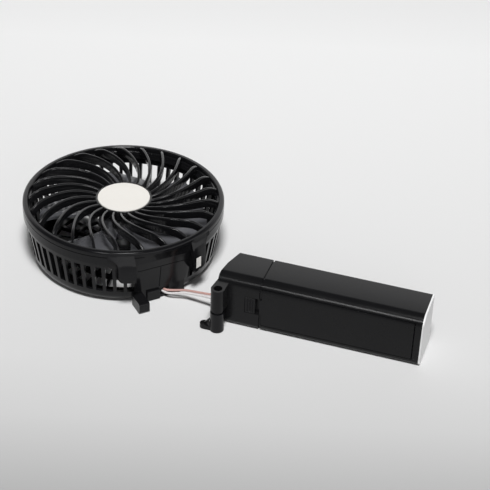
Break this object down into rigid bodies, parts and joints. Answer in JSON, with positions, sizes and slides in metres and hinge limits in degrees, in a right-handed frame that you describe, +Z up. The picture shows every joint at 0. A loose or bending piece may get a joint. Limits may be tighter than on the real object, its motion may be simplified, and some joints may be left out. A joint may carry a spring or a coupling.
{
  "type": "handheld fan",
  "caption": "Folding handheld fan with a round spiral-grille head and a battery handle, shown parted at its hinge and joined by two wires.",
  "frame": {"origin": "middle of the head's rear rest face, on the table", "axes": "+Z up through the head towards its grille; -Y towards the side of the head that the handle hinges on"},
  "size_m": [0.1571, 0.2014, 0.0361],
  "materials": {
    "black_plastic": "satin black moulding",
    "handle_plastic": "fine satin black moulding",
    "blade_plastic": "glossy dark moulding",
    "pale_plastic": "off-white",
    "black_rubber": "matte",
    "steel": "plain steel",
    "bronze": "sintered",
    "red_sleeve": "dull red sleeve",
    "pale_sleeve": "whitish grey sleeve",
    "cell_sleeve": "shrink sleeve",
    "board": "solder mask",
    "lamp": "clear lens"
  },
  "bodies": {
    "head": {"front_ring": "black_plastic", "front_grille": "black_plastic", "hub_badge": "pale_plastic", "side_lens": "pale_plastic", "rear_shell": "black_plastic", "hinge_arm": "black_plastic", "wire_cover": "black_plastic", "wire_grommet": "black_rubber", "motor_can": "steel", "motor_cap": "pale_plastic", "motor_bush": "bronze", "motor_screws": "steel", "hinge_knuckle": "black_plastic", "hinge_pin": "steel", "wire_red": "red_sleeve", "wire_white": "pale_sleeve"},
    "rotor": {"impeller": "blade_plastic", "motor_shaft": "steel"},
    "handle": {"end_block": "handle_plastic", "handle_shell": "handle_plastic", "end_cap": "pale_plastic", "battery_cell": "cell_sleeve", "contact_spring": "steel", "contact_plate": "steel", "circuit_board": "board", "usb_socket": "steel", "power_switch": "black_plastic", "indicator_lens": "lamp", "handle_screws": "steel"},
    "door": {"battery_door": "handle_plastic"},
    "latch": {"door_latch": "handle_plastic"},
    "button": {"power_button": "black_plastic"}
  },
  "joints": [
    {"name": "rotor_spin", "type": "hinge", "parent": "head", "child": "rotor", "pos_m": [0, 0, 0.02], "axis": [0, 0, 1], "continuous": true},
    {"name": "handle_fold", "type": "hinge", "parent": "head", "child": "handle", "pos_m": [0.01367, -0.08264, 0], "axis": [0, 0, -1], "range_deg": [0, 150]},
    {"name": "door_open", "type": "hinge", "parent": "handle", "child": "door", "pos_m": [0.08614, -0.14575, 0.014], "axis": [0, 0, 1], "range_deg": [0, 90]},
    {"name": "latch_slide", "type": "slide", "parent": "handle", "child": "latch", "axis": [0.7046, -0.7096, 0], "range_m": [0, 0.002]},
    {"name": "power_press", "type": "slide", "parent": "handle", "child": "button", "axis": [-0.7096, -0.7046, 0], "range_m": [0, 0.001], "stiffness_N_per_m": 900}
  ]
}
